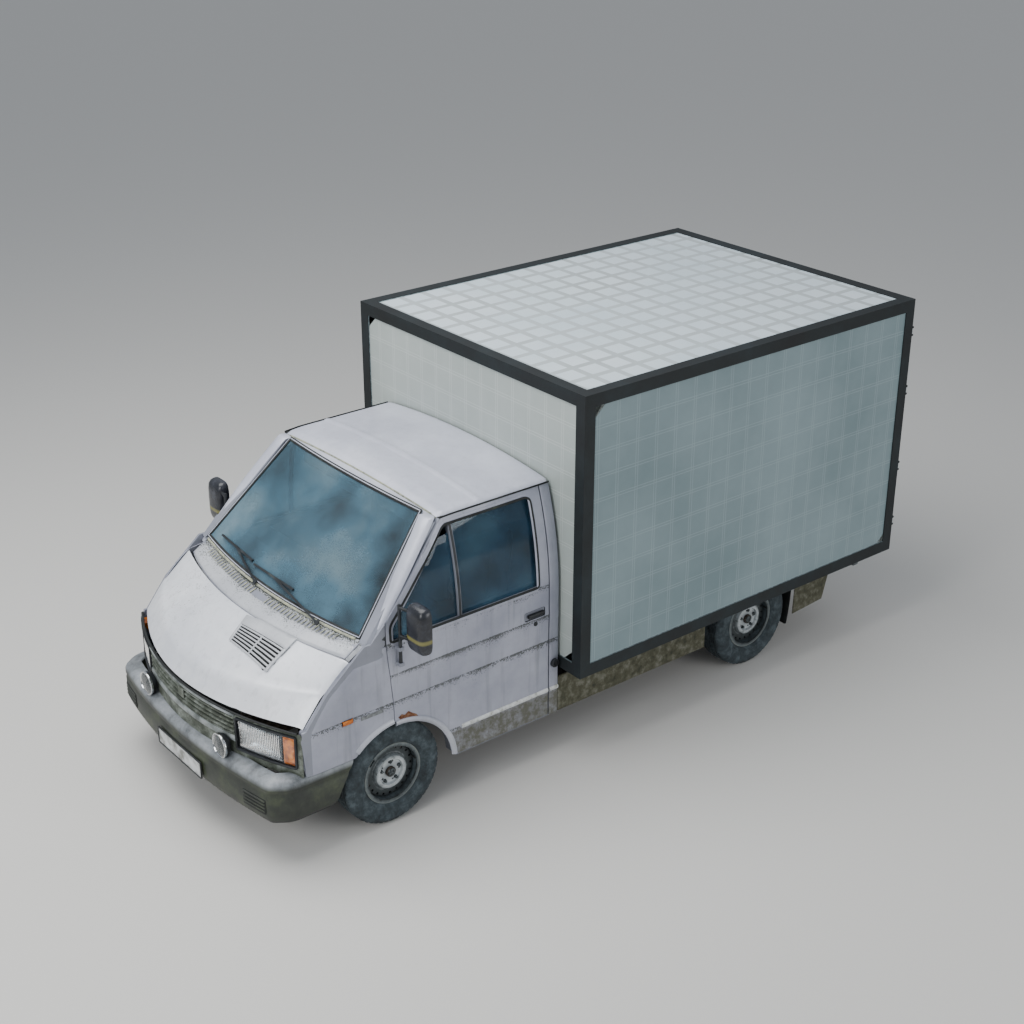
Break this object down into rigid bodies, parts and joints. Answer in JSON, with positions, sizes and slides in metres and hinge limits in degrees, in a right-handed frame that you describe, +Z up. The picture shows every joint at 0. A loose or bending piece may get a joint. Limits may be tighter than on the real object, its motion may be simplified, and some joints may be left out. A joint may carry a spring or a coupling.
{
  "type": "light box truck",
  "caption": "Light delivery truck: short-bonnet cab with tilting bonnet, hinged doors and glass, on a ladder chassis with a square framed box body and twin rear doors.",
  "frame": {"origin": "on the ground at the middle of the bounding box", "axes": "+Z up, the front faces -Y, the driver (left) side is +X"},
  "size_m": [2.38, 5.0598, 2.45],
  "materials": {
    "chassis_steel": "satin black chassis paint, dirty",
    "body_paint": "aged light metallic paint",
    "bonnet_paint": "aged light metallic paint",
    "black_plastic": "grained black moulding",
    "grey_plastic": "weathered grey bumper moulding",
    "glass": "clear laminated or toughened glass",
    "lamp_glass": "fluted clear lamp glass",
    "amber_lens": "moulded amber and red lenses",
    "tyre_rubber": "dusty tread rubber",
    "wheel_steel": "silver painted pressed steel",
    "bare_steel": "plain steel",
    "cast_metal": "cast",
    "seat_fabric": "woven seat cloth over foam",
    "frame_aluminium": "dark painted angle extrusion",
    "panel_laminate": "glass-fibre faced panel with a fine grid",
    "door_panel": "painted door leaf",
    "plywood": "sealed plywood",
    "plate_metal": "blank plate"
  },
  "bodies": {
    "chassis": {"chassis_frame": "chassis_steel", "front_suspension": "chassis_steel", "rear_axle": "chassis_steel", "leaf_springs": "bare_steel", "engine": "cast_metal", "fuel_tank": "chassis_steel", "cab_floor": "body_paint", "cab_back": "body_paint", "cab_roof": "body_paint", "cab_side_left": "body_paint", "cab_side_right": "body_paint", "cowl": "body_paint", "windscreen": "glass", "grille": "black_plastic", "front_lamps": "lamp_glass", "signal_lamps": "amber_lens", "front_bumper": "grey_plastic", "number_plate": "plate_metal", "seat_base": "chassis_steel", "passenger_seat": "seat_fabric", "dashboard": "black_plastic", "box_floor": "plywood", "box_frame": "frame_aluminium", "box_panels": "panel_laminate", "side_skirts": "body_paint", "rear_bumper": "chassis_steel"},
    "front_left_wheel": {"tyre_front_left": "tyre_rubber", "rim_front_left": "wheel_steel"},
    "front_right_wheel": {"tyre_front_right": "tyre_rubber", "rim_front_right": "wheel_steel"},
    "rear_left_wheel": {"tyre_rear_left": "tyre_rubber", "rim_rear_left": "wheel_steel"},
    "rear_right_wheel": {"tyre_rear_right": "tyre_rubber", "rim_rear_right": "wheel_steel"},
    "left_knuckle": {"knuckle_left": "cast_metal"},
    "right_knuckle": {"knuckle_right": "cast_metal"},
    "steering": {"steering_wheel": "black_plastic"},
    "bonnet_lid": {"bonnet": "bonnet_paint", "bonnet_intake": "body_paint"},
    "left_door": {"door_left": "body_paint"},
    "right_door": {"door_right": "body_paint"},
    "left_window": {"window_left": "glass"},
    "right_window": {"window_right": "glass"},
    "left_handle": {"handle_left": "black_plastic"},
    "right_handle": {"handle_right": "black_plastic"},
    "left_mirror": {"mirror_left": "black_plastic"},
    "right_mirror": {"mirror_right": "black_plastic"},
    "left_wiper": {"wiper_left": "black_plastic"},
    "right_wiper": {"wiper_right": "black_plastic"},
    "left_rear_door": {"rear_door_left": "door_panel"},
    "right_rear_door": {"rear_door_right": "door_panel"},
    "left_lock_bar": {"lock_bar_left": "bare_steel"},
    "right_lock_bar": {"lock_bar_right": "bare_steel"},
    "clutch": {"clutch_pedal": "bare_steel"},
    "brake": {"brake_pedal": "bare_steel"},
    "accelerator": {"accelerator_pedal": "bare_steel"},
    "gear_shift": {"gear_lever": "black_plastic"},
    "parking_brake": {"handbrake": "black_plastic"},
    "cap": {"fuel_cap": "black_plastic"},
    "driver_seat_slide": {"driver_seat": "seat_fabric"}
  },
  "joints": [
    {"name": "steer_left", "type": "hinge", "parent": "chassis", "child": "left_knuckle", "pos_m": [0.812, -1.64, 0.333], "axis": [0, 0, 1], "range_deg": [-32, 32]},
    {"name": "steer_right", "type": "hinge", "parent": "chassis", "child": "right_knuckle", "pos_m": [-0.812, -1.64, 0.333], "axis": [0, 0, 1], "range_deg": [-32, 32]},
    {"name": "steering_turn", "type": "hinge", "parent": "chassis", "child": "steering", "pos_m": [0.44, -1.215, 1.165], "axis": [0, 0.788, 0.6157], "range_deg": [-545, 545]},
    {"name": "front_left_spin", "type": "hinge", "parent": "left_knuckle", "child": "front_left_wheel", "pos_m": [0.8385, -1.64, 0.333], "axis": [1, 0, 0], "continuous": true},
    {"name": "front_right_spin", "type": "hinge", "parent": "right_knuckle", "child": "front_right_wheel", "pos_m": [-0.8385, -1.64, 0.333], "axis": [1, 0, 0], "continuous": true},
    {"name": "rear_left_spin", "type": "hinge", "parent": "chassis", "child": "rear_left_wheel", "pos_m": [0.8385, 1.344, 0.333], "axis": [1, 0, 0], "continuous": true},
    {"name": "rear_right_spin", "type": "hinge", "parent": "chassis", "child": "rear_right_wheel", "pos_m": [-0.8385, 1.344, 0.333], "axis": [1, 0, 0], "continuous": true},
    {"name": "bonnet_hinge", "type": "hinge", "parent": "chassis", "child": "bonnet_lid", "pos_m": [0, -1.896, 1.186], "axis": [-1, 0, 0], "range_deg": [0, 55]},
    {"name": "left_door_hinge", "type": "hinge", "parent": "chassis", "child": "left_door", "pos_m": [0.93, -1.64, 0.9], "axis": [0, 0, -1], "range_deg": [0, 60]},
    {"name": "right_door_hinge", "type": "hinge", "parent": "chassis", "child": "right_door", "pos_m": [-0.93, -1.64, 0.9], "axis": [0, 0, 1], "range_deg": [0, 60]},
    {"name": "left_window_run", "type": "hinge", "parent": "left_door", "child": "left_window", "pos_m": [-1.12, -0.85, 1.15], "axis": [0, 1, 0], "range_deg": [0, 14]},
    {"name": "right_window_run", "type": "hinge", "parent": "right_door", "child": "right_window", "pos_m": [1.12, -0.85, 1.15], "axis": [0, -1, 0], "range_deg": [0, 14]},
    {"name": "left_handle_pull", "type": "hinge", "parent": "left_door", "child": "left_handle", "pos_m": [0.9358, -0.65, 1.041], "axis": [0, 0, -1], "range_deg": [0, 22], "stiffness_Nm_per_rad": 2},
    {"name": "right_handle_pull", "type": "hinge", "parent": "right_door", "child": "right_handle", "pos_m": [-0.9358, -0.65, 1.041], "axis": [0, 0, 1], "range_deg": [0, 22], "stiffness_Nm_per_rad": 2},
    {"name": "left_mirror_fold", "type": "hinge", "parent": "left_door", "child": "left_mirror", "pos_m": [0.962, -1.59, 1.2], "axis": [0, 0, 1], "range_deg": [-30, 50]},
    {"name": "right_mirror_fold", "type": "hinge", "parent": "right_door", "child": "right_mirror", "pos_m": [-0.962, -1.59, 1.2], "axis": [0, 0, -1], "range_deg": [-30, 50]},
    {"name": "left_wiper_sweep", "type": "hinge", "parent": "chassis", "child": "left_wiper", "pos_m": [0.56, -1.88015, 1.262], "axis": [-0.0096, 0.6828, -0.7306], "range_deg": [0, 80]},
    {"name": "right_wiper_sweep", "type": "hinge", "parent": "chassis", "child": "right_wiper", "pos_m": [-0.1, -1.89467, 1.262], "axis": [0.0615, 0.6877, -0.7234], "range_deg": [0, 80]},
    {"name": "left_rear_door_hinge", "type": "hinge", "parent": "chassis", "child": "left_rear_door", "pos_m": [1.116, 2.52, 1.5], "axis": [0, 0, -1], "range_deg": [0, 208]},
    {"name": "right_rear_door_hinge", "type": "hinge", "parent": "chassis", "child": "right_rear_door", "pos_m": [-1.116, 2.52, 1.5], "axis": [0, 0, 1], "range_deg": [0, 208]},
    {"name": "left_lock_turn", "type": "hinge", "parent": "left_rear_door", "child": "left_lock_bar", "pos_m": [0.18, 2.521, 1.5], "axis": [0, 0, 1], "range_deg": [0, 90]},
    {"name": "right_lock_turn", "type": "hinge", "parent": "right_rear_door", "child": "right_lock_bar", "pos_m": [-0.18, 2.521, 1.5], "axis": [0, 0, -1], "range_deg": [0, 90]},
    {"name": "clutch_travel", "type": "hinge", "parent": "chassis", "child": "clutch", "pos_m": [0.506, -1.5, 0.885], "axis": [-1, 0, 0], "range_deg": [0, 12], "stiffness_Nm_per_rad": 30, "springref_deg": -17.19},
    {"name": "brake_travel", "type": "hinge", "parent": "chassis", "child": "brake", "pos_m": [0.43, -1.5, 0.885], "axis": [-1, 0, 0], "range_deg": [0, 10], "stiffness_Nm_per_rad": 30, "springref_deg": -17.19},
    {"name": "accelerator_travel", "type": "hinge", "parent": "chassis", "child": "accelerator", "pos_m": [0.345, -1.5, 0.885], "axis": [-1, 0, 0], "range_deg": [0, 12], "stiffness_Nm_per_rad": 15, "springref_deg": -17.19},
    {"name": "gear_shift_pivot", "type": "hinge", "parent": "chassis", "child": "gear_shift", "pos_m": [0.12, -1.18, 0.556], "axis": [1, 0, 0], "range_deg": [-14, 14]},
    {"name": "handbrake_pull", "type": "hinge", "parent": "chassis", "child": "parking_brake", "pos_m": [0.06, -0.9, 0.6], "axis": [1, 0, 0], "range_deg": [0, 30]},
    {"name": "fuel_cap_turn", "type": "hinge", "parent": "chassis", "child": "cap", "pos_m": [0.9355, -0.436, 0.654], "axis": [1, 0, 0], "range_deg": [0, 90]},
    {"name": "driver_seat_track", "type": "slide", "parent": "chassis", "child": "driver_seat_slide", "axis": [0, 1, 0], "range_m": [-0.08, 0.06]}
  ],
  "couplings": [
    {"joint": "steer_right", "follows": "steer_left", "ratio": 1},
    {"joint": "steering_turn", "follows": "steer_left", "ratio": 17},
    {"joint": "right_wiper_sweep", "follows": "left_wiper_sweep", "ratio": 1}
  ]
}
